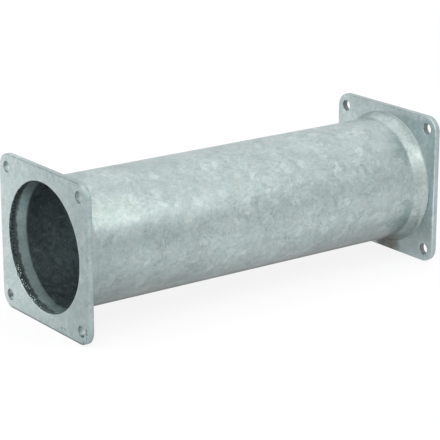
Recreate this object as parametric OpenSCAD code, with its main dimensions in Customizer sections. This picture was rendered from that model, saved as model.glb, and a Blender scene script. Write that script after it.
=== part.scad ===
// Galvanised flanged pipe: a thin steel tube whose two ends are belled out and
// welded to the backs of square bolting plates. It lies along X and stands on the
// lower edges of its plates, with the origin on the ground below its middle.

/* [Pipe] */
// Length over the outer faces of the two plates
overall_len = 550; // [200:5:1500]
// Outside diameter of the pipe
pipe_od = 165; // [60:1:320]
// Wall of the pipe, kept by its belled ends
pipe_wall = 2.5; // [1.5:0.5:6]

/* [Belled ends] */
// How far the rim of a belled end stands out beyond the pipe, all round
bell_rise = 7; // [2:0.5:12]
// Length of the cone between the pipe and the plate
bell_len = 19; // [8:1:60]

/* [Plates] */
// How far a plate reaches beyond the pipe on each side
plate_reach = 17.5; // [12:0.5:60]
// Thickness of a plate
plate_t = 8; // [4:0.5:20]
// Radius of a plate's four corners
corner_r = 20; // [6:1:40]
// Chamfer along a plate's outer edges
edge_chamfer = 0.8; // [0.2:0.1:1.8]
// How much the bore of a plate lies inside the pipe's outside, all round
bore_inset = 0.5; // [0:0.25:4]

/* [Bolt holes] */
// Diameter of a bolt hole
hole_d = 14.5; // [6:0.5:20]
// From the centre of a bolt hole to each of the two plate edges beside it
hole_edge = 17; // [12:0.5:28]

/* [Welds] */
// Leg of the weld bead between a belled end and its plate
weld_leg = 1.5; // [0.5:0.25:4]

/* [Hidden] */
$fn = 96;

pipe_r = pipe_od/2;
rim_r = pipe_r + bell_rise;
bore_r = pipe_r - bore_inset;
plate_side = pipe_od + 2*plate_reach;
axis_z = plate_side/2;
front_x = -overall_len/2;
pipe_len = overall_len - 2*plate_t;
hole_at = plate_side/2 - hole_edge;
corner_at = plate_side/2 - corner_r;
// Cuts run this far past the faces that they go through
past = 1;

galvanised = [0.70, 0.74, 0.75];
weld_grey = [0.64, 0.68, 0.69];

// Turns a shape made along Z to lie along X on the pipe's axis, starting at x
module on_axis(x) translate([x, 0, axis_z]) rotate([0, 90, 0]) children();

// One side of the pipe's wall in section, from the rim at the front to the rim at the rear
function wall_line(inward) = [
    [rim_r - inward, 0],
    [pipe_r - inward, bell_len],
    [pipe_r - inward, pipe_len - bell_len],
    [rim_r - inward, pipe_len]
];

function backwards(points) = [for (i = [len(points) - 1 : -1 : 0]) points[i]];

module pipe() {
    color(galvanised)
        on_axis(front_x + plate_t)
            rotate_extrude()
                polygon(concat(wall_line(0), backwards(wall_line(pipe_wall))));
}

// A round corner of the plate, with both its edges chamfered
module plate_corner() {
    rotate_extrude()
        polygon([
            [0, 0],
            [corner_r - edge_chamfer, 0],
            [corner_r, edge_chamfer],
            [corner_r, plate_t - edge_chamfer],
            [corner_r - edge_chamfer, plate_t],
            [0, plate_t]
        ]);
}

// The straight band of the plate between two opposite sides, as wide as the
// distance between the corner centres
module plate_band() {
    half = plate_side/2;
    rotate([90, 0, 0])
        linear_extrude(2*corner_at, center = true)
            polygon([
                [-half + edge_chamfer, 0],
                [half - edge_chamfer, 0],
                [half, edge_chamfer],
                [half, plate_t - edge_chamfer],
                [half - edge_chamfer, plate_t],
                [-half + edge_chamfer, plate_t],
                [-half, plate_t - edge_chamfer],
                [-half, edge_chamfer]
            ]);
}

// Square plate with round corners, a bore for the flow and four bolt holes
module plate() {
    difference() {
        union() {
            plate_band();
            rotate(90) plate_band();
            for (u = [-1, 1], v = [-1, 1])
                translate([u*corner_at, v*corner_at, 0]) plate_corner();
        }
        translate([0, 0, -past]) cylinder(r = bore_r, h = plate_t + 2*past);
        for (u = [-1, 1], v = [-1, 1])
            translate([u*hole_at, v*hole_at, -past]) cylinder(d = hole_d, h = plate_t + 2*past);
    }
}

module front_flange() color(galvanised) on_axis(front_x) plate();

module rear_flange() mirror([1, 0, 0]) front_flange();

// Round bead in the corner between a belled end and the back of its plate
module front_weld() {
    far = 2*weld_leg;
    color(weld_grey)
        on_axis(front_x + plate_t)
            rotate_extrude()
                translate([rim_r, 0])
                    intersection() {
                        circle(r = weld_leg);
                        polygon([[0, 0], [far, 0], [far, far], [-far*bell_rise/bell_len, far]]);
                    }
}

module rear_weld() mirror([1, 0, 0]) front_weld();

pipe();
front_flange();
rear_flange();
front_weld();
rear_weld();
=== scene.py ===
# Hot-dip galvanised flanged pipe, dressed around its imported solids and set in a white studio.
import math

import bmesh
import bpy
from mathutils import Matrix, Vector, noise
from mathutils.geometry import delaunay_2d_cdt


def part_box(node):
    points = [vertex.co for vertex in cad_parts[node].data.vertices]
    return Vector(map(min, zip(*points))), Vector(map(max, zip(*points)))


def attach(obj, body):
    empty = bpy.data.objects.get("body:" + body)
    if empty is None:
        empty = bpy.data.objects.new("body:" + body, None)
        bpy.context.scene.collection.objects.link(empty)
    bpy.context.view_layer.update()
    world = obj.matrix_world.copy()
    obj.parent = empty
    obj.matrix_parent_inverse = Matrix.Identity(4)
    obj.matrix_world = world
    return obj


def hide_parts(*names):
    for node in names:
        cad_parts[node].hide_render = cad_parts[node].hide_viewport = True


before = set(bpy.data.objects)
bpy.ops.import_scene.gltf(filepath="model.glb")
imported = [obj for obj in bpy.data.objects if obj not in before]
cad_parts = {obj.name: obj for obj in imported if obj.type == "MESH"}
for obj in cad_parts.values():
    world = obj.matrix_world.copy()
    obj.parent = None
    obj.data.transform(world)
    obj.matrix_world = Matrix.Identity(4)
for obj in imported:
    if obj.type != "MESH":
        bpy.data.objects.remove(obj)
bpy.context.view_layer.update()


# The pipe: one length of thin-walled steel tube. Each end was pressed out cold over a former
# into a short cone, whose rim is welded to the back of a plate. The zinc bath coated it inside
# and out, so its corners are soft.
def put(tree, kind, sockets=None, **settings):
    """Adds a node to a tree. Each socket takes a plain value or another node's output."""
    node = tree.nodes.new(kind)
    for key, value in settings.items():
        setattr(node, key, value)
    for key, value in (sockets or {}).items():
        if isinstance(value, bpy.types.NodeSocket):
            tree.links.new(value, node.inputs[key])
        else:
            node.inputs[key].default_value = value
    return node


def reckon(tree, operation, *values):
    """A sum on numbers, as one Math node."""
    return put(tree, "ShaderNodeMath", dict(enumerate(values)), operation=operation).outputs[0]


def ranged(tree, value, start, stop, least=0.0, most=1.0, soft=False):
    """From least to most, evenly or softly, as a value goes from start to stop."""
    return put(tree, "ShaderNodeMapRange", {0: value, 1: start, 2: stop, 3: least, 4: most},
               interpolation_type="SMOOTHSTEP" if soft else "LINEAR").outputs[0]


def moved(tree, operation, vector, other):
    """A sum on two vectors, as one Vector Math node."""
    return put(tree, "ShaderNodeVectorMath", {0: vector, 1: other}, operation=operation).outputs[0]


def scaled(tree, vector, factor):
    """A vector times a number."""
    return put(tree, "ShaderNodeVectorMath", {0: vector, "Scale": factor}, operation="SCALE").outputs[0]


def split(tree, vector):
    """The three coordinates of a vector."""
    return put(tree, "ShaderNodeSeparateXYZ", {0: vector}).outputs


def joined(tree, x=0.0, y=0.0, z=0.0):
    """A vector from its three coordinates."""
    return put(tree, "ShaderNodeCombineXYZ", {0: x, 1: y, 2: z}).outputs[0]


def cloudy(tree, place, scale, detail, rough=0.5):
    """Soft noise from 0 to 1 over the object."""
    return put(tree, "ShaderNodeTexNoise", {
        "Vector": place, "Scale": scale, "Detail": detail, "Roughness": rough}).outputs["Fac"]


def here(tree):
    """Where each point of a shape is, in its geometry tree."""
    return put(tree, "GeometryNodeInputPosition").outputs[0]


def shape_tree(name, sizes):
    """A new geometry tree with one named input for each size, and those inputs as outputs to use."""
    tree = bpy.data.node_groups.new(name, "GeometryNodeTree")
    kinds = {int: "NodeSocketInt", float: "NodeSocketFloat"}
    for label, value in sizes.items():
        tree.interface.new_socket(label, in_out="INPUT", socket_type=kinds[type(value)])
    tree.interface.new_socket("Piece", in_out="OUTPUT", socket_type="NodeSocketGeometry")
    return tree, put(tree, "NodeGroupInput").outputs


def end_tree(tree, geometry, finish):
    """Ends a tree: real faces, smooth except at sharp edges, in the piece's finish."""
    sharp_from = math.radians(50)
    smooth = put(tree, "GeometryNodeSetShadeSmooth", {0: geometry})
    bend = put(tree, "GeometryNodeInputMeshEdgeAngle").outputs[0]
    sharp = put(tree, "FunctionNodeCompare", {0: bend, 1: sharp_from}, operation="GREATER_THAN")
    edged = put(tree, "GeometryNodeSetShadeSmooth", {
        0: smooth.outputs[0], "Selection": sharp.outputs[0], "Shade Smooth": False}, domain="EDGE")
    real = put(tree, "GeometryNodeRealizeInstances", {0: edged.outputs[0]})
    dressed = put(tree, "GeometryNodeSetMaterial", {0: real.outputs[0], "Material": finish})
    put(tree, "NodeGroupOutput", {0: dressed.outputs[0]})


def face_outwards(mesh):
    """Turns every face of a closed mesh outwards."""
    shell = bmesh.new()
    shell.from_mesh(mesh)
    bmesh.ops.recalc_face_normals(shell, faces=shell.faces)
    shell.to_mesh(mesh)
    shell.free()


def grown_piece(name, tree, sizes):
    """The mesh that a geometry tree gives for these sizes, in its finish, as a plain object."""
    piece = bpy.data.objects.new(name, bpy.data.meshes.new(name))
    bpy.context.scene.collection.objects.link(piece)
    grower = piece.modifiers.new("shape", "NODES")
    grower.node_group = tree
    for item in tree.interface.items_tree:
        if item.in_out == "INPUT":
            grower[item.identifier] = sizes[item.name]
    grown = piece.evaluated_get(bpy.context.evaluated_depsgraph_get())
    mesh = bpy.data.meshes.new_from_object(grown)
    mesh.name = name
    piece.modifiers.clear()
    piece.data = mesh
    face_outwards(mesh)
    return piece


def shaded(tree, colour, shade, share):
    """The colour multiplied by a shade, as far as the share goes."""
    return put(tree, "ShaderNodeMix", {0: share, 6: colour, 7: (*shade, 1.0)}, data_type="RGBA",
               blend_type="MULTIPLY").outputs[2]


def rolled_out(tree, place):
    """Places on the pipe's wall as they would lie if it were slit below and rolled out flat."""
    along, side, height = split(tree, place)
    height = reckon(tree, "SUBTRACT", height, axis_z)
    turn = reckon(tree, "ARCTAN2", side, height)
    height_squared = reckon(tree, "MULTIPLY", height, height)
    out = reckon(tree, "SQRT", reckon(tree, "MULTIPLY_ADD", side, side, height_squared))
    return joined(tree, along, reckon(tree, "MULTIPLY", turn, barrel_radius), out)


def zinc_finish(name, tone, spangle, contrast, roughness, lay, surface_marks_and_painted_light):
    """Dull hot-dip zinc: low crystals with a feathered grain, a few bright flakes and soft clouds.
    The spangle is the width of a crystal, and the weathering function adds the marks of one piece and any
    light and shade painted on it."""
    darkest, lightest = (0.58, 0.62, 0.64), (1.40, 1.38, 1.35)
    warm_shade, pit_shade = (1.03, 0.985, 0.965), (0.62, 0.61, 0.60)
    # even clean bright zinc keeps back some of the light
    limit = (0.76, 0.82, 0.83)
    finish = bpy.data.materials.new(name)
    finish.use_nodes = True
    tree = finish.node_tree
    tree.nodes.clear()
    place = put(tree, "ShaderNodeTexCoord").outputs["Object"]

    def cells(scale, channel, **settings):
        """One number for each crystal."""
        colours = put(tree, "ShaderNodeTexVoronoi", {"Vector": flowed, "Scale": scale}, **settings)
        return put(tree, "ShaderNodeSeparateColor", {0: colours.outputs["Color"]}).outputs[channel]

    def weighed(total, part, weight):
        """A total moved up or down by a part that goes from 0 to 1."""
        return reckon(tree, "MULTIPLY_ADD", reckon(tree, "SUBTRACT", part, 0.5), weight, total)

    # the crystals have bent borders, because the places that they are drawn from drift
    drift = put(tree, "ShaderNodeTexNoise", {
        "Vector": place, "Scale": 0.8/spangle, "Detail": 3.0, "Roughness": 0.6}).outputs["Color"]
    drift = moved(tree, "SUBTRACT", drift, (0.5, 0.5, 0.5))
    drift = moved(tree, "MULTIPLY", drift, (0.9*spangle, 0.9*spangle, 0.9*spangle))
    flowed = moved(tree, "ADD", place, drift)
    crystal = cells(1.0/spangle, "Red", feature="SMOOTH_F1")
    small = cells(2.6/spangle, "Red", feature="SMOOTH_F1")
    chosen = cells(1.0/spangle, "Green")
    flake = ranged(tree, chosen, 0.88, 0.92)
    dull_flake = ranged(tree, chosen, 0.14, 0.08)
    # the feathered grain lies its own way in each crystal
    lie = reckon(tree, "MULTIPLY", cells(0.8/spangle, "Blue"), math.pi)
    turned = put(tree, "ShaderNodeVectorRotate", {
        "Vector": lay(tree, place), "Axis": (0.0, 0.0, 1.0), "Angle": lie}).outputs[0]
    stroke = moved(tree, "MULTIPLY", turned, (1.3/spangle, 4.6/spangle, 4.6/spangle))
    feather = cloudy(tree, stroke, 1.0, 2.0, 0.55)
    cloud = cloudy(tree, place, 0.25/spangle, 3.0, 0.55)
    grain = cloudy(tree, place, 4.5/spangle, 3.0, 0.65)
    patchy = cloudy(tree, place, 0.32/spangle, 2.0)
    feathered = ranged(tree, patchy, 0.38, 0.62, 0.34*contrast, 0.92*contrast)

    level = 0.5
    for part, weight in ((crystal, 0.18*contrast), (small, 0.21*contrast), (feather, feathered),
                         (cloud, 0.27*contrast), (grain, 0.53*contrast)):
        level = weighed(level, part, weight)
    level = reckon(tree, "MULTIPLY_ADD", flake, 0.15*contrast, level)
    level = reckon(tree, "MULTIPLY_ADD", dull_flake, -0.08*contrast, level)
    ramp = put(tree, "ShaderNodeValToRGB", {0: level})
    for stop, shade in zip(ramp.color_ramp.elements, (darkest, lightest)):
        stop.color = (shade[0]*tone[0], shade[1]*tone[1], shade[2]*tone[2], 1)

    warm = ranged(tree, cloudy(tree, place, 0.9/spangle, 2.0), 0.52, 0.72)
    hue = shaded(tree, ramp.outputs[0], warm_shade, warm)
    pits = put(tree, "ShaderNodeTexVoronoi", {"Vector": place, "Scale": 62.0})
    chance = put(tree, "ShaderNodeSeparateColor", {0: pits.outputs["Color"]}).outputs["Red"]
    chance = ranged(tree, chance, 0.55, 0.60)
    hue = shaded(tree, hue, pit_shade, ranged(tree, pits.outputs["Distance"], 0.075, 0.035, most=chance))
    hue = moved(tree, "MINIMUM", surface_marks_and_painted_light(tree, place, hue), limit)
    shine = weighed(weighed(roughness, small, 0.10), cloud, -0.10)
    relief = reckon(tree, "MULTIPLY_ADD", grain, 0.5, reckon(tree, "MULTIPLY", feather, 0.6))
    bump = put(tree, "ShaderNodeBump", {"Height": relief, "Strength": 0.30, "Distance": 0.0006}).outputs[0]
    metal = put(tree, "ShaderNodeBsdfPrincipled", {
        "Base Color": hue, "Metallic": 1.0, "Roughness": shine, "Normal": bump})
    put(tree, "ShaderNodeOutputMaterial", {0: metal.outputs[0]})
    return finish


pipe_low, pipe_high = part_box("pipe")
axis_z = (pipe_low.z + pipe_high.z)/2
rim_radius = (pipe_high.z - pipe_low.z)/2
barrel_radius = 0.0825
bell_length = 0.019
pipe_sizes = {
    "Half length": (pipe_high.x - pipe_low.x)/2,
    "Barrel radius": barrel_radius,
    "Wall": 0.0025,
    "Bell rise": rim_radius - barrel_radius,
    "Bell length": bell_length,
    "Inner bell length": 0.0165,
    "Corner softness": 0.13,
    "Axis height": axis_z,
    "Waviness": 0.00012,
    "Stations": 150,
    "Sides": 160,
}


def tube_marks_and_painted_light(tree, place, colour):
    """The marks that the bath and the weld left on the tube, outside, inside and in its two cones,
    with painted light and shade laid over them. Heights are taken from the pipe's axis."""
    soot_and_shade_place = (0.252, -0.022, 0.019)
    ring_place, ring_radius = (-0.2418, 0.0707, 0.0625), 0.0092
    along, side, height = split(tree, place)
    above = reckon(tree, "SUBTRACT", height, axis_z)
    from_middle = reckon(tree, "ABSOLUTE", along)
    inside = put(tree, "ShaderNodeAttribute", attribute_name="inside").outputs["Fac"]
    outside = reckon(tree, "SUBTRACT", 1.0, inside)

    def between(value, start, stop, share):
        """Softly from 0 to the share, as a value goes from start to stop."""
        return ranged(tree, value, start, stop, most=share, soft=True)

    def away(point):
        """How far a place is from a point."""
        gap = put(tree, "ShaderNodeVectorMath", {0: place, 1: point}, operation="DISTANCE")
        return gap.outputs["Value"]

    wander = reckon(tree, "SUBTRACT", cloudy(tree, place, 22.0, 3.0), 0.5)
    underside_edge = reckon(tree, "MULTIPLY_ADD", wander, 0.030, above)
    at_rim = between(from_middle, 0.246, 0.266, outside)
    off_rim = reckon(tree, "SUBTRACT", outside, at_rim)
    # painted shade along the underside, with a wandering edge
    low = between(underside_edge, -0.026, -0.062, off_rim)
    # masks for painted shade, a painted dark reflection and a painted highlight near the front end, and for
    # a paler patch in the middle
    front_end_shadow = between(along, -0.165, -0.215, outside)
    painted_dark_reflection = between(above, -0.010, 0.006, between(above, 0.030, 0.016, outside))
    painted_highlight_band = between(above, 0.030, 0.042, between(above, 0.072, 0.058, outside))
    from_pale = reckon(tree, "ABSOLUTE", reckon(tree, "SUBTRACT", along, 0.005))
    pale = between(from_pale, 0.120, 0.040, outside)

    in_cone = between(from_middle, 0.2480, 0.2512, inside)
    in_barrel = reckon(tree, "SUBTRACT", inside, in_cone)
    off_ring = reckon(tree, "ABSOLUTE", reckon(tree, "SUBTRACT", away(ring_place), ring_radius))
    ring_side = between(above, -0.040, -0.033, in_barrel)
    cone_foot = between(above, -0.070, -0.084, in_cone)
    ragged = reckon(tree, "MULTIPLY_ADD", cloudy(tree, place, 160.0, 3.0), 0.006, from_middle)
    burnt_and_shaded_rim = between(ragged, 0.2637, 0.2662, in_cone)
    rusty_rim_top = between(above, 0.022, 0.045, burnt_and_shaded_rim)

    marks = (
        # outside, the underside is darker, as painted shade, with brownish dirt in patches, and darkest in
        # a painted shaded line along the very bottom
        ((0.93, 0.92, 0.92), low),
        ((1.03, 0.975, 0.955), between(cloudy(tree, place, 60.0, 2.0), 0.50, 0.68, low)),
        ((0.54, 0.50, 0.47), between(above, -0.062, -0.074, off_rim)),
        # the rims are painted lighter and warmer, most on their far side and at the top, and a little
        # darker low down: painted light and shade
        ((1.23, 1.20, 1.15), between(above, 0.085, 0.045, at_rim)),
        ((1.30, 1.30, 1.30), between(side, 0.0, 0.030, at_rim)),
        ((1.12, 1.12, 1.11), between(above, 0.072, 0.084, at_rim)),
        ((0.88, 0.88, 0.88), between(above, 0.012, -0.010, at_rim)),
        # a dark patch at the foot of the rear rim, where it meets the plate: weld soot, darkened further as
        # painted corner shade
        ((0.42, 0.38, 0.36), between(away(soot_and_shade_place), 0.013, 0.003, outside)),
        # along the barrel the top is painted lighter, as painted light; low down near the front plate lies
        # painted shade, and above it a painted dark reflection band with a painted highlight over it; low
        # in the middle there is a paler patch
        ((1.06, 1.06, 1.06), between(above, 0.070, 0.080, off_rim)),
        ((0.89, 0.89, 0.90), between(above, 0.035, -0.020, front_end_shadow)),
        ((0.91, 0.92, 0.93), between(along, -0.030, -0.160, painted_dark_reflection)),
        ((1.14, 1.14, 1.10), between(along, -0.140, -0.195, painted_highlight_band)),
        ((1.10, 1.10, 1.10), between(above, 0.005, -0.020, pale)),
        # inside, the barrel's wall is painted lighter all over and more below, as painted light, is
        # mottled, and is painted darker towards the cones as painted shade
        ((1.17, 1.13, 1.16), in_barrel),
        ((1.34, 1.38, 1.42), between(above, 0.030, -0.050, in_barrel)),
        ((0.74, 0.73, 0.71), between(cloudy(tree, place, 130.0, 4.0, 0.6), 0.42, 0.62, in_barrel)),
        ((1.6, 1.6, 1.6), between(cloudy(tree, place, 380.0, 2.0), 0.58, 0.72, in_barrel)),
        ((0.72, 0.72, 0.72), between(from_middle, 0.210, 0.240, in_barrel)),
        # a bright half ring that a drop left on it when it dried
        ((1.5, 1.5, 1.48), between(off_ring, 0.0016, 0.0003, ring_side)),
        # inside, the cones are painted darker as painted shade; painted light brightens their upper parts
        # and their foot, and painted shade darkens them low down and, browner, at the very top
        ((0.53, 0.58, 0.59), in_cone),
        ((1.45, 1.45, 1.45), between(above, -0.005, 0.038, in_cone)),
        ((0.68, 0.68, 0.68), between(above, -0.020, -0.055, in_cone)),
        ((0.84, 0.78, 0.76), between(above, 0.044, 0.062, in_cone)),
        ((1.70, 1.70, 1.70), cone_foot),
        ((1.80, 1.80, 1.80), between(side, 0.012, -0.010, cone_foot)),
        # at their rims a dark ragged band is painted shade of the crevice behind the plate's bore, over
        # weld-burnt zinc, which is rusty at the top
        ((0.32, 0.32, 0.32), burnt_and_shaded_rim),
        ((1.35, 0.95, 0.80), between(cloudy(tree, place, 210.0, 2.0), 0.52, 0.62, rusty_rim_top)),
    )
    for shade, share in marks:
        colour = shaded(tree, colour, shade, share)
    return colour


pipe_zinc = zinc_finish("tube_zinc", tone=(0.395, 0.462, 0.462), spangle=0.011, contrast=1.0,
                        roughness=0.40, lay=rolled_out, surface_marks_and_painted_light=tube_marks_and_painted_light)

tree, size = shape_tree("belled_tube", pipe_sizes)
stations, half_length = size["Stations"], size["Half length"]
around = reckon(tree, "MULTIPLY", stations, 2.0)
sheet = put(tree, "GeometryNodeMeshGrid", {
    "Size X": 1.0, "Size Y": 1.0,
    "Vertices X": reckon(tree, "ADD", around, 1.0),
    "Vertices Y": reckon(tree, "ADD", size["Sides"], 1.0)})
flat = split(tree, here(tree))
# the sheet's rows run out along the outer wall, from the front end to the rear, and back inside
row = reckon(tree, "ROUND", reckon(tree, "MULTIPLY", reckon(tree, "ADD", flat[0], 0.5), around))
row = reckon(tree, "MODULO", row, around)
inner = reckon(tree, "GREATER_THAN", row, reckon(tree, "SUBTRACT", stations, 0.5))
back_row = reckon(tree, "SUBTRACT", reckon(tree, "SUBTRACT", around, 1.0), row)
row = put(tree, "ShaderNodeMix", {0: inner, 2: row, 3: back_row}).outputs[0]
share = reckon(tree, "DIVIDE", row, reckon(tree, "SUBTRACT", stations, 1.0))
share = reckon(tree, "MULTIPLY_ADD", share, 2.0, -1.0)
from_middle = reckon(tree, "ABSOLUTE", share)
# the belled ends, which bend, have two fifths of the rows, and the long straight barrel the rest
barrel_rows, bell_rows, bend_past = 0.6, 0.4, 0.008
bell = reckon(tree, "ADD", size["Bell length"], bend_past)
barrel = reckon(tree, "DIVIDE", reckon(tree, "SUBTRACT", half_length, bell), barrel_rows)
barrel = reckon(tree, "MULTIPLY", from_middle, barrel)
from_end = reckon(tree, "SUBTRACT", 1.0, from_middle)
from_end = reckon(tree, "MULTIPLY", from_end, reckon(tree, "DIVIDE", bell, bell_rows))
along = reckon(tree, "MINIMUM", barrel, reckon(tree, "SUBTRACT", half_length, from_end))
to_end = reckon(tree, "SUBTRACT", half_length, along)
cone = put(tree, "ShaderNodeMix", {
    0: inner, 2: size["Bell length"], 3: size["Inner bell length"]}).outputs[0]
climb = reckon(tree, "SUBTRACT", 1.0, reckon(tree, "DIVIDE", to_end, cone))
climb = reckon(tree, "SMOOTH_MAX", climb, 0.0, size["Corner softness"])
radius = reckon(tree, "MULTIPLY_ADD", climb, size["Bell rise"], size["Barrel radius"])
radius = reckon(tree, "SUBTRACT", radius, reckon(tree, "MULTIPLY", inner, size["Wall"]))
turn = reckon(tree, "MULTIPLY", reckon(tree, "ADD", flat[1], 0.5), math.tau)
radial = joined(tree, y=reckon(tree, "COSINE", turn), z=reckon(tree, "SINE", turn))
end_side = reckon(tree, "SIGN", share)
spot = joined(tree, x=reckon(tree, "MULTIPLY", along, end_side), z=size["Axis height"])
wall_point = moved(tree, "ADD", spot, scaled(tree, radial, radius))
# the zinc lies a little unevenly, but not where the rims meet the plates
uneven = reckon(tree, "MULTIPLY_ADD", cloudy(tree, wall_point, 30.0, 2.0), 2.0, -1.0)
uneven = reckon(tree, "MULTIPLY", uneven, size["Waviness"])
uneven = reckon(tree, "MULTIPLY", uneven, ranged(tree, to_end, 0.0, 0.008))
marked = put(tree, "GeometryNodeStoreNamedAttribute", {
    0: sheet.outputs[0], "Name": "inside", "Value": inner})
rolled = put(tree, "GeometryNodeSetPosition", {
    0: marked.outputs[0], "Position": wall_point, "Offset": scaled(tree, radial, uneven)})
closed = put(tree, "GeometryNodeMergeByDistance", {0: rolled.outputs[0], "Distance": 0.00001})
end_tree(tree, closed.outputs[0], pipe_zinc)
tube = grown_piece("belled_tube", tree, pipe_sizes)
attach(tube, "root")
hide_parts("pipe")


# The plates: two squares of flat steel bar, sawn, rounded at the corners, bored for the flow and
# drilled for four bolts. They stand square to the pipe at its ends. The zinc rounds their edges
# and lies rough in the flame-cut bore.
plate_corner = 0.020
plate_bore = 0.082
bolt_at = 0.083
bolt_radius = 0.00725
grid_step = 0.0030


def laid_flat(tree, place):
    """Places on a plate, with its face as the first two axes."""
    through, across, height = split(tree, place)
    return joined(tree, height, across, through)


def plate_marks_and_painted_light(side_to_side_shade, marks, stains_and_painted_light):
    """Zinc graded in tone from one side edge to the other as painted shade, with stains and painted
    patches of light and shade, and with its edges, walls and cut parts in their own shades, some of
    which are painted light and shade. Heights are taken from the pipe's axis."""
    # a stain or painted patch reaches less far through the plate than over it, so it stays on its own face
    through_plate = (5.0, 1.0, 1.0)

    def surface_marks_and_painted_light(tree, place, colour):
        through, across, height = split(tree, place)
        above = reckon(tree, "SUBTRACT", height, axis_z)
        outwards = reckon(tree, "ABSOLUTE", through)
        # painted shade, grading the face from one side edge to the other
        colour = shaded(tree, colour, side_to_side_shade, ranged(tree, across, 0.10, -0.10))
        side, hole, cut = (put(tree, "ShaderNodeAttribute", attribute_name=label).outputs["Fac"]
                           for label in ("side", "hole", "cut"))
        off_side = reckon(tree, "SUBTRACT", 1.0, side)
        blotchy = cloudy(tree, place, 90.0, 2.0)
        for centre, reach, shade in stains_and_painted_light:
            off = moved(tree, "MULTIPLY", moved(tree, "SUBTRACT", place, centre), through_plate)
            off = put(tree, "ShaderNodeVectorMath", {0: off}, operation="LENGTH").outputs["Value"]
            off = reckon(tree, "MULTIPLY_ADD", blotchy, 0.6*reach, off)
            stain_and_painted_light_share = ranged(tree, off, 1.25*reach, 0.5*reach, most=off_side, soft=True)
            colour = shaded(tree, colour, shade, stain_and_painted_light_share)
        foot = ranged(tree, above, -0.066, -0.083, most=cut)
        off_foot = reckon(tree, "SUBTRACT", cut, foot)
        shares = {
            "side": side, "hole": hole, "cut": cut, "foot": foot,
            "upper edge": ranged(tree, above, 0.0981, 0.0989, most=off_side),
            "lower edge": ranged(tree, above, -0.0970, -0.0982, most=off_side),
            "low": ranged(tree, above, -0.050, -0.085, most=off_side),
            "pit": ranged(tree, cloudy(tree, place, 420.0, 2.0), 0.46, 0.56, most=off_foot),
            "lip": ranged(tree, outwards, 0.2722, 0.2738, most=cut),
            "worn": ranged(tree, cloudy(tree, place, 75.0, 3.0, 0.6), 0.48, 0.62, most=side),
            "hole back": ranged(tree, outwards, 0.2720, 0.2685, most=hole),
            "top": ranged(tree, above, 0.0970, 0.0995, most=side),
        }
        for label, shade in marks.items():
            colour = shaded(tree, colour, shade, shares[label])
        return colour
    return surface_marks_and_painted_light


# painted light: "low" lightens the lower face, "side" the side walls, "hole back" the back of each bolt
# hole, "foot" the bottom of the bore, and "lip" its outer edge as a painted highlight; painted shade: "top"
# darkens the top wall and "hole" the bolt holes
front_marks = {
    "low": (1.10, 1.10, 1.10), "upper edge": (0.78, 0.79, 0.80), "lower edge": (0.42, 0.41, 0.40),
    "side": (1.15, 1.15, 1.15), "worn": (0.88, 0.89, 0.90), "top": (0.86, 0.86, 0.86),
    "hole": (0.80, 0.80, 0.80), "hole back": (1.28, 1.28, 1.28),
    "cut": (0.92, 0.93, 0.93), "pit": (0.42, 0.42, 0.42), "foot": (2.0, 2.0, 2.0), "lip": (1.6, 1.6, 1.6),
}
# painted shade: "side" darkens the side walls and "hole" the bolt holes
rear_marks = {
    "upper edge": (0.82, 0.82, 0.82), "side": (0.79, 0.80, 0.80), "hole": (0.36, 0.355, 0.35),
    "cut": (0.92, 0.93, 0.93), "pit": (0.42, 0.42, 0.42),
}
# a stain, or a painted patch of light or shade, has its centre, its reach and its shade
front_stains_and_painted_light = [
    ((-0.275, -0.0948, 0.022), 0.0028, (0.46, 0.46, 0.46)),
    ((-0.275, -0.0946, 0.017), 0.0030, (0.48, 0.48, 0.48)),
    ((-0.275, -0.0942, 0.011), 0.0026, (0.46, 0.46, 0.46)),
    ((-0.275, -0.0880, 0.004), 0.0024, (0.46, 0.46, 0.46)),
    ((-0.275, -0.0400, 0.009), 0.0022, (0.30, 0.30, 0.30)),
    ((-0.275, -0.0455, 0.009), 0.0020, (0.34, 0.34, 0.34)),
    # a painted highlight at the back of the upper left bolt hole
    ((-0.2685, 0.0895, 0.1815), 0.0046, (1.45, 1.45, 1.45)),
]
rear_stains_and_painted_light = [
    # a dark stain under the rim, with painted shade in the corner below the pipe
    ((0.267, -0.014, 0.010), 0.030, (0.48, 0.42, 0.38)),
    ((0.267, 0.005, 0.008), 0.015, (0.54, 0.49, 0.47)),
    # painted shade on the face above the rim
    ((0.267, -0.028, 0.200), 0.060, (0.82, 0.82, 0.83)),
    ((0.267, 0.045, 0.194), 0.045, (0.87, 0.87, 0.87)),
    # painted light on the face near its right edge
    ((0.267, -0.098, 0.085), 0.050, (1.22, 1.22, 1.25)),
    ((0.267, -0.015, 0.1985), 0.0016, (0.40, 0.38, 0.37)),
]
front_zinc = zinc_finish("front_plate_zinc", tone=(0.485, 0.563, 0.563), spangle=0.006, contrast=0.95,
                         roughness=0.40, lay=laid_flat,
                         surface_marks_and_painted_light=plate_marks_and_painted_light((0.66, 0.68, 0.69), front_marks, front_stains_and_painted_light))
rear_zinc = zinc_finish("rear_plate_zinc", tone=(0.465, 0.540, 0.548), spangle=0.006, contrast=0.85,
                        roughness=0.40, lay=laid_flat,
                        surface_marks_and_painted_light=plate_marks_and_painted_light((1.04, 1.04, 1.05), rear_marks, rear_stains_and_painted_light))


def square_outline(half, corner, step):
    """Points and outward normals round a square with round corners, anticlockwise."""
    points, normals = [], []
    middle = half - corner
    side_count = round(2*middle/step)
    arc_count = 14
    for quarter in range(4):
        start = quarter*math.pi/2
        along = Vector((-math.sin(start), math.cos(start)))
        across = Vector((math.cos(start), math.sin(start)))
        for i in range(side_count):
            points.append(across*half + along*(-middle + 2*middle*i/side_count))
            normals.append(across)
        centre = across*middle + along*middle
        for i in range(arc_count):
            angle = start + math.pi/2*i/arc_count
            normals.append(Vector((math.cos(angle), math.sin(angle))))
            points.append(centre + normals[-1]*corner)
    return points, normals


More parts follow.
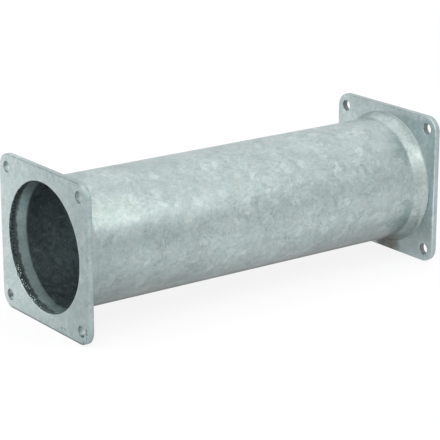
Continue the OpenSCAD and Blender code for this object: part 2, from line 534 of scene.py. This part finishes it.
def hole_outline(centre, radius, count):
    """Points round a hole, clockwise, and normals that point into it."""
    angles = [-math.tau*i/count for i in range(count)]
    normals = [Vector((-math.cos(angle), -math.sin(angle))) for angle in angles]
    return [Vector(centre) - n*radius for n in normals], normals


def zinc_plate(name, node, outer_x, inner_x, seed, finish, burr_angle):
    """One plate as a closed mesh: two faces of small triangles, joined by rounded edges and walls.
    A flame-cut bore keeps one small burr, at an angle on its outer edge."""
    side_edge, bore_edge, hole_edge = 0.0013, 0.0007, 0.0005
    edge_steps = 3
    rough_from = 0.0012
    burr_width, burr_height, burr_depth, burr_clean = 0.022, 0.0038, 0.0045, 0.25
    ripple_height = 0.00009
    low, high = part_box(node)
    half = (high.y - low.y)/2
    thick = abs(inner_x - outer_x)
    inward = math.copysign(1.0, inner_x - outer_x)

    def bumpy(x, y, scale, third):
        """Smooth noise over the plate, from -1 to 1."""
        return noise.noise(Vector((x*scale, y*scale, third)))

    # an outline has its mark, points and normals, the radius of its edges, how wavy and how rough
    # it is, and the steps of its wall
    loops = [("side", *square_outline(half, plate_corner, grid_step), side_edge, 0.00012, 0.0, 6),
             ("cut", *hole_outline((0, 0), plate_bore, 300), bore_edge, 0.00010, 0.00028, 14)]
    for u in (-1, 1):
        for v in (-1, 1):
            bolt_hole = hole_outline((u*bolt_at, v*bolt_at), bolt_radius, 40)
            loops.append(("hole", *bolt_hole, hole_edge, 0.00016, 0.00010, 6))

    coords, marked, faces = [], [], []
    flat_points, flat_edges, front_ids, back_ids = [], [], [], []
    for wall_mark, points, normals, edge, wobble, rough, wall_steps in loops:
        # from the outer face round its edge, through the wall and round the other edge
        profile = []
        for i in range(edge_steps + 1):
            a = math.radians(90*i/edge_steps)
            mark = wall_mark if i == edge_steps else ""
            profile.append((-edge*(1 - math.sin(a)), edge*(1 - math.cos(a)), mark))
        other_edge = [(offset, thick - depth, mark) for offset, depth, mark in reversed(profile)]
        for i in range(1, wall_steps):
            profile.append((0.0, edge + (thick - 2*edge)*i/wall_steps, wall_mark))
        profile += other_edge
        count = len(points)
        ring_ids = []
        for offset, depth, mark in profile:
            ids = []
            for p, n in zip(points, normals):
                burr = 0.0
                shift = wobble*bumpy(p.x, p.y, 90, seed)
                shift += wobble*0.6*bumpy(p.x, p.y, 330, seed + depth*60)
                if rough:
                    middle = min(1.0, depth/rough_from, (thick - depth)/rough_from)
                    shift += rough*middle*bumpy(p.x, p.y, 520, depth*520 + seed)
                    shift += 0.5*rough*middle*bumpy(p.x, p.y, 1300, depth*1300 + seed)
                if wall_mark == "cut":
                    off_burr = math.remainder(math.atan2(p.y, p.x) - burr_angle, math.tau)/burr_width
                    burr = math.exp(-off_burr**2)*max(0.0, 1 - depth/burr_depth)
                    shift += burr_height*burr
                q = p + n*(offset + shift)
                ids.append(len(coords))
                coords.append((outer_x + inward*depth, q.x, axis_z + q.y))
                marked.append("" if burr > burr_clean else mark)
            ring_ids.append(ids)
        for a, b in zip(ring_ids, ring_ids[1:]):
            for i in range(count):
                j = (i + 1) % count
                faces.append((a[i], a[j], b[j], b[i]))
        first = len(flat_points)
        flat_points += [Vector((coords[i][1], coords[i][2])) for i in ring_ids[0]]
        flat_edges += [(first + i, first + (i + 1) % count) for i in range(count)]
        front_ids += ring_ids[0]
        back_ids += ring_ids[-1]

    # points in rows over both faces, clear of the edges
    clear = 0.55*grid_step
    row_height = 0.87
    hole_border = 0.0009
    steps = int(half/grid_step) + 1
    for i in range(-steps, steps + 1):
        for j in range(-steps, steps + 1):
            y = (i + 0.5*(j % 2))*grid_step
            z = j*grid_step*row_height
            corner_y, corner_z = abs(y) - (half - plate_corner), abs(z) - (half - plate_corner)
            from_corner = math.hypot(corner_y, corner_z)
            if max(abs(y), abs(z)) > half - side_edge - clear:
                continue
            if min(corner_y, corner_z) > 0 and from_corner > plate_corner - side_edge - clear:
                continue
            if math.hypot(y, z) < plate_bore + bore_edge + clear:
                continue
            if math.hypot(abs(y) - bolt_at, abs(z) - bolt_at) < bolt_radius + hole_border + clear:
                continue
            flat_points.append(Vector((y, z + axis_z)))
            ripple = ripple_height*bumpy(y, z, 45, seed + 7)
            front_ids.append(len(coords))
            coords.append((outer_x - inward*ripple, y, z + axis_z))
            back_ids.append(len(coords))
            coords.append((inner_x + inward*ripple, y, z + axis_z))
            marked += ["", ""]
    hole_slack = 0.0002
    joined_up = delaunay_2d_cdt(flat_points, flat_edges, [], 0, 1e-7)
    out_points, triangles, origin = joined_up[0], joined_up[2], joined_up[3]
    for triangle in triangles:
        ids = [origin[i][0] for i in triangle]
        centre = sum((out_points[i] for i in triangle), Vector((0, 0)))/3
        y, z = centre.x, centre.y - axis_z
        in_bore = math.hypot(y, z) < plate_bore + hole_slack
        in_bolt = math.hypot(abs(y) - bolt_at, abs(z) - bolt_at) < bolt_radius + hole_slack
        if in_bore or in_bolt:
            continue
        faces.append(tuple(front_ids[i] for i in ids))
        faces.append(tuple(back_ids[i] for i in reversed(ids)))

    mesh = bpy.data.meshes.new(name)
    mesh.from_pydata(coords, [], faces)
    mesh.validate()
    face_outwards(mesh)
    mesh.shade_smooth()
    for label in ("side", "hole", "cut"):
        share = mesh.attributes.new(label, "FLOAT", "POINT")
        share.data.foreach_set("value", [float(mark == label) for mark in marked])
    mesh.materials.append(finish)
    plate = bpy.data.objects.new(name, mesh)
    bpy.context.scene.collection.objects.link(plate)
    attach(plate, "root")
    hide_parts(node)


front_low, front_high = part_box("front_flange")
rear_low, rear_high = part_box("rear_flange")
zinc_plate("front_plate", "front_flange", outer_x=front_low.x, inner_x=front_high.x, seed=3.0,
           finish=front_zinc, burr_angle=math.radians(-39))
zinc_plate("rear_plate", "rear_flange", outer_x=rear_high.x, inner_x=rear_low.x, seed=11.0,
           finish=rear_zinc, burr_angle=math.radians(152))


# The weld beads: one fillet run round the outside of each rim, in the corner with the plate's back.
# The welder's ripples still show, softened by the zinc.
def no_weather(tree, place, colour):
    """Zinc with no marks of its own."""
    return colour


def stood_up(tree, geometry, size):
    """A ring that was made lying flat, turned to stand round the pipe's axis at a plate's side."""
    return put(tree, "GeometryNodeTransform", {
        0: geometry, "Rotation": (0.0, math.pi/2, 0.0),
        "Translation": joined(tree, x=size["Plate side"], z=size["Axis height"])}).outputs[0]


weld_zinc = zinc_finish("weld_zinc", tone=(0.345, 0.405, 0.405), spangle=0.006, contrast=0.7,
                        roughness=0.42, lay=rolled_out, surface_marks_and_painted_light=no_weather)
cone_slope = math.atan2(rim_radius - barrel_radius, bell_length)
bead_corner = math.pi/2 + cone_slope


def weld_bead(name, node, plate_x, start_angle, first_leg, second_leg):
    """A bead grown round the rim: a low fillet between plate and cone, swelling at each ripple."""
    low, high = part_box(node)
    sizes = {
        "Rim radius": rim_radius,
        "Leg": high.x - low.x,
        "Plate side": plate_x,
        "Axis height": axis_z,
        "Start angle": start_angle,
        "Corner angle": bead_corner,
        "Ripples": 150.0,
        "Ripple depth": 0.05,
        "Points round": 900,
    }
    hollow = 0.42
    tree, size = shape_tree(name, sizes)
    ring = put(tree, "GeometryNodeCurvePrimitiveCircle", {
        "Resolution": size["Points round"], "Radius": size["Rim radius"]})

    def section_point(share, reach):
        """A point of the fillet, by its share of the corner's angle and of the leg."""
        angle = reckon(tree, "MULTIPLY_ADD", size["Corner angle"], share, size["Start angle"])
        far = reckon(tree, "MULTIPLY", size["Leg"], reach)
        return joined(tree, reckon(tree, "MULTIPLY", far, reckon(tree, "COSINE", angle)),
                      reckon(tree, "MULTIPLY", far, reckon(tree, "SINE", angle)))

    section = put(tree, "GeometryNodeCurvePrimitiveQuadrilateral", {
        "Point 1": (0.0, 0.0, 0.0), "Point 2": section_point(0.0, first_leg),
        "Point 3": section_point(0.5, hollow), "Point 4": section_point(1.0, second_leg)}, mode="POINTS")
    round_share = put(tree, "GeometryNodeSplineParameter").outputs["Factor"]
    hand = cloudy(tree, here(tree), 120.0, 2.0)
    beat = reckon(tree, "MULTIPLY", round_share, reckon(tree, "MULTIPLY", size["Ripples"], math.tau))
    beat = reckon(tree, "MULTIPLY_ADD", hand, 9.0, beat)
    depth = reckon(tree, "MULTIPLY", size["Ripple depth"], 0.5)
    swell = reckon(tree, "MULTIPLY_ADD", reckon(tree, "SINE", beat), depth, 0.95)
    swell = reckon(tree, "MULTIPLY_ADD", reckon(tree, "SUBTRACT", hand, 0.5), 0.22, swell)
    bead = put(tree, "GeometryNodeCurveToMesh", {0: ring.outputs[0], 1: section.outputs[0], "Scale": swell})
    end_tree(tree, stood_up(tree, bead.outputs[0], size), weld_zinc)
    bead_piece = grown_piece(name, tree, sizes)
    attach(bead_piece, "root")
    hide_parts(node)


weld_bead("front_bead", "front_weld", plate_x=front_high.x, start_angle=-bead_corner,
          first_leg=1.0, second_leg=0.45)
weld_bead("rear_bead", "rear_weld", plate_x=rear_low.x, start_angle=0.0,
          first_leg=0.45, second_leg=1.0)


# The weld laps: where each run of weld closes on itself, the second pass covers more of the cone,
# as a thin wedge that narrows to nothing.
lap_zinc = zinc_finish("lap_zinc", tone=(0.420, 0.490, 0.490), spangle=0.008, contrast=0.8,
                       roughness=0.42, lay=rolled_out, surface_marks_and_painted_light=no_weather)


def weld_lap(name, plate_x, hand, start_angle, sweep):
    """A wedge of weld along part of the rim, widest near its start. The hand says which way the
    cone lies from the plate."""
    sizes = {
        "Rim radius": rim_radius,
        "Plate side": plate_x,
        "Axis height": axis_z,
        "Start angle": start_angle,
        "Sweep": sweep,
        "Reach": 0.0100,
        "Height": 0.0020,
        "Toe": 0.00030,
        "Hand": hand,
        "Points": 160,
    }
    tree, size = shape_tree(name, sizes)
    path = put(tree, "GeometryNodeCurveArc", {
        "Resolution": size["Points"], "Radius": size["Rim radius"],
        "Start Angle": size["Start angle"], "Sweep Angle": size["Sweep"]}, mode="RADIUS")

    def wedge_point(back, proud):
        """A point this far back along the cone from the rim, and this far proud of it."""
        across = reckon(tree, "SUBTRACT", reckon(tree, "MULTIPLY", proud, math.cos(cone_slope)),
                        reckon(tree, "MULTIPLY", back, math.sin(cone_slope)))
        along = reckon(tree, "ADD", reckon(tree, "MULTIPLY", back, math.cos(cone_slope)),
                       reckon(tree, "MULTIPLY", proud, math.sin(cone_slope)))
        return joined(tree, across, reckon(tree, "MULTIPLY", along, size["Hand"]))

    # its lower side lies a little within the cone
    under = reckon(tree, "MULTIPLY", size["Toe"], -1.5)
    section = put(tree, "GeometryNodeCurvePrimitiveQuadrilateral", {
        "Point 1": wedge_point(0.0, under), "Point 2": wedge_point(0.0, size["Height"]),
        "Point 3": wedge_point(size["Reach"], size["Toe"]),
        "Point 4": wedge_point(size["Reach"], under)}, mode="POINTS")
    share = put(tree, "GeometryNodeSplineParameter").outputs["Factor"]
    grow = ranged(tree, share, 0.0, 0.40, soft=True)
    fade = ranged(tree, share, 0.30, 1.0, least=1.0, most=0.02)
    uneven = reckon(tree, "MULTIPLY_ADD", cloudy(tree, here(tree), 150.0, 2.0), 0.30, 0.85)
    width = reckon(tree, "MULTIPLY", reckon(tree, "MULTIPLY", grow, fade), uneven)
    lap = put(tree, "GeometryNodeCurveToMesh", {
        0: path.outputs[0], 1: section.outputs[0], "Scale": width, "Fill Caps": True})
    end_tree(tree, stood_up(tree, lap.outputs[0], size), lap_zinc)
    piece = grown_piece(name, tree, sizes)
    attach(piece, "root")


weld_lap("rear_lap", plate_x=rear_low.x, hand=1.0,
         start_angle=math.radians(-98), sweep=math.radians(52))
weld_lap("front_lap", plate_x=front_high.x, hand=-1.0,
         start_angle=math.radians(70), sweep=math.radians(48))


# The zinc drops: the bath left beads of zinc in the flame-cut bore of each plate, mostly low down
# on the side that it drained to, where they froze on the rough wall.
drop_zinc = zinc_finish("drop_zinc", tone=(0.36, 0.42, 0.42), spangle=0.004, contrast=0.5,
                        roughness=0.33, lay=laid_flat, surface_marks_and_painted_light=no_weather)


def bore_drops(name, outer_x, inner_x, from_angle, to_angle, seed):
    """Drops scattered over a strip of a plate's bore wall, each pressed flat against it."""
    sizes = {
        "Bore radius": plate_bore,
        "Outer side": outer_x,
        "Inner side": inner_x,
        "Axis height": axis_z,
        "From angle": from_angle,
        "To angle": to_angle,
        "Spacing": 0.0020,
        "Least radius": 0.0006,
        "Greatest radius": 0.0018,
        "Seed": seed,
    }
    flatness = 0.75
    tree, size = shape_tree(name, sizes)
    sheet = put(tree, "GeometryNodeMeshGrid", {
        "Size X": 1.0, "Size Y": 1.0, "Vertices X": 60, "Vertices Y": 6})
    flat = split(tree, here(tree))
    angle = ranged(tree, flat[0], -0.5, 0.5, size["From angle"], size["To angle"])
    # the strip keeps clear of both edges of the bore
    deep = ranged(tree, flat[1], -0.9, 0.56, size["Outer side"], size["Inner side"])
    across = reckon(tree, "MULTIPLY", size["Bore radius"], reckon(tree, "COSINE", angle))
    up = reckon(tree, "SINE", angle)
    up = reckon(tree, "MULTIPLY_ADD", size["Bore radius"], up, size["Axis height"])
    strip = put(tree, "GeometryNodeSetPosition", {
        0: sheet.outputs[0], "Position": joined(tree, deep, across, up)})
    patch = ranged(tree, cloudy(tree, here(tree), 95.0, 1.0), 0.48, 0.60)
    spots = put(tree, "GeometryNodeDistributePointsOnFaces", {
        0: strip.outputs[0], "Distance Min": size["Spacing"], "Density Max": 400000.0,
        "Density Factor": patch, "Seed": size["Seed"]}, distribute_method="POISSON")
    chance = put(tree, "FunctionNodeRandomValue", {
        2: 0.0, 3: 1.0, 8: size["Seed"]}, data_type="FLOAT").outputs[1]
    # most drops are small
    chance = reckon(tree, "MULTIPLY", chance, chance)
    radius = ranged(tree, chance, 0.0, 1.0, size["Least radius"], size["Greatest radius"])
    pressed = joined(tree, radius, radius, reckon(tree, "MULTIPLY", radius, flatness))
    ball = put(tree, "GeometryNodeMeshIcoSphere", {"Radius": 1.0, "Subdivisions": 2})
    drops = put(tree, "GeometryNodeInstanceOnPoints", {
        0: spots.outputs["Points"], "Instance": ball.outputs[0],
        "Rotation": spots.outputs["Rotation"], "Scale": pressed})
    end_tree(tree, drops.outputs[0], drop_zinc)
    piece = grown_piece(name, tree, sizes)
    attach(piece, "root")


bore_drops("front_drops", outer_x=front_low.x, inner_x=front_high.x,
           from_angle=math.radians(-84), to_angle=math.radians(-30), seed=4)
bore_drops("rear_drops", outer_x=rear_high.x, inner_x=rear_low.x,
           from_angle=math.radians(-130), to_angle=math.radians(-50), seed=9)


# The studio: a wide white floor that the pipe stands on, a soft white surround and two soft lamps,
# one to the left and one before the pipe. The floor lies a hair below the plates' lower edges.
floor_reach, floor_z = 7.0, -0.0003
floor_corners = [(u*floor_reach, v*floor_reach, floor_z) for u, v in ((-1, -1), (1, -1), (1, 1), (-1, 1))]
floor_mesh = bpy.data.meshes.new("studio_floor")
floor_mesh.from_pydata(floor_corners, [], [(0, 1, 2, 3)])
floor = bpy.data.objects.new("studio_floor", floor_mesh)
bpy.context.scene.collection.objects.link(floor)
floor_paint = bpy.data.materials.new("white_floor")
floor_paint.use_nodes = True
tree = floor_paint.node_tree
tree.nodes.clear()
rays = put(tree, "ShaderNodeLightPath").outputs
mirrored = reckon(tree, "MAXIMUM", rays["Is Glossy Ray"], rays["Is Transmission Ray"])
glow = reckon(tree, "MAXIMUM", reckon(tree, "MULTIPLY", rays["Is Camera Ray"], 0.86),
              reckon(tree, "MULTIPLY", mirrored, 0.4))
matt = put(tree, "ShaderNodeBsdfDiffuse", {"Color": (0.90, 0.90, 0.90, 1)})
white = put(tree, "ShaderNodeEmission", {"Color": (1, 1, 1, 1), "Strength": 1.0})
blend = put(tree, "ShaderNodeMixShader", {0: glow, 1: matt.outputs[0], 2: white.outputs[0]})
put(tree, "ShaderNodeOutputMaterial", {0: blend.outputs[0]})
floor_mesh.materials.append(floor_paint)

world = bpy.data.worlds.new("white_surround")
bpy.context.scene.world = world
world.use_nodes = True
tree = world.node_tree
tree.nodes.clear()
upwards = split(tree, put(tree, "ShaderNodeTexCoord").outputs["Generated"])[2]
low_sky = ranged(tree, upwards, 0.0, 0.25, 0.74, 1.06, soft=True)
high_sky = ranged(tree, upwards, 0.55, 0.85, 0.0, 0.36, soft=True)
sky = reckon(tree, "ADD", low_sky, high_sky)
rays = put(tree, "ShaderNodeLightPath").outputs
sky = put(tree, "ShaderNodeMix", {0: rays["Is Camera Ray"], 2: sky, 3: 1.0}).outputs[0]
surround = put(tree, "ShaderNodeBackground", {"Color": (1, 1, 1, 1), "Strength": sky})
put(tree, "ShaderNodeOutputWorld", {0: surround.outputs[0]})


def soft_lamp(name, place, width, power):
    """A soft square white lamp that faces the middle of the pipe."""
    lamp = bpy.data.lights.new(name, "AREA")
    lamp.shape = "RECTANGLE"
    lamp.size, lamp.size_y, lamp.energy = width, width, power
    holder = bpy.data.objects.new(name, lamp)
    holder.location = place
    facing = Vector((0, 0, 0.1)) - Vector(place)
    holder.rotation_euler = facing.to_track_quat("-Z", "Y").to_euler()
    bpy.context.scene.collection.objects.link(holder)


soft_lamp("left_lamp", place=(-1.3, 0.0, 0.6), width=1.6, power=4.6)
soft_lamp("front_lamp", place=(0.25, -0.62, 0.62), width=0.35, power=0.42)


# The camera stands to the front left of the pipe and a little above it, with a long lens.
camera_lens = bpy.data.cameras.new("camera")
camera_lens.sensor_width = 36.0
camera_lens.lens = 154.13
camera = bpy.data.objects.new("camera", camera_lens)
camera.location = (-1.3772, -1.8704, 0.7980)
turn_round, look_down = math.radians(-36.146), math.radians(17.059)
back = Vector((math.sin(turn_round)*math.cos(look_down), -math.cos(turn_round)*math.cos(look_down),
               math.sin(look_down)))
camera.rotation_euler = (-back).to_track_quat("-Z", "Y").to_euler()
bpy.context.scene.collection.objects.link(camera)
bpy.context.scene.camera = camera
bpy.context.scene.view_settings.view_transform = "Standard"
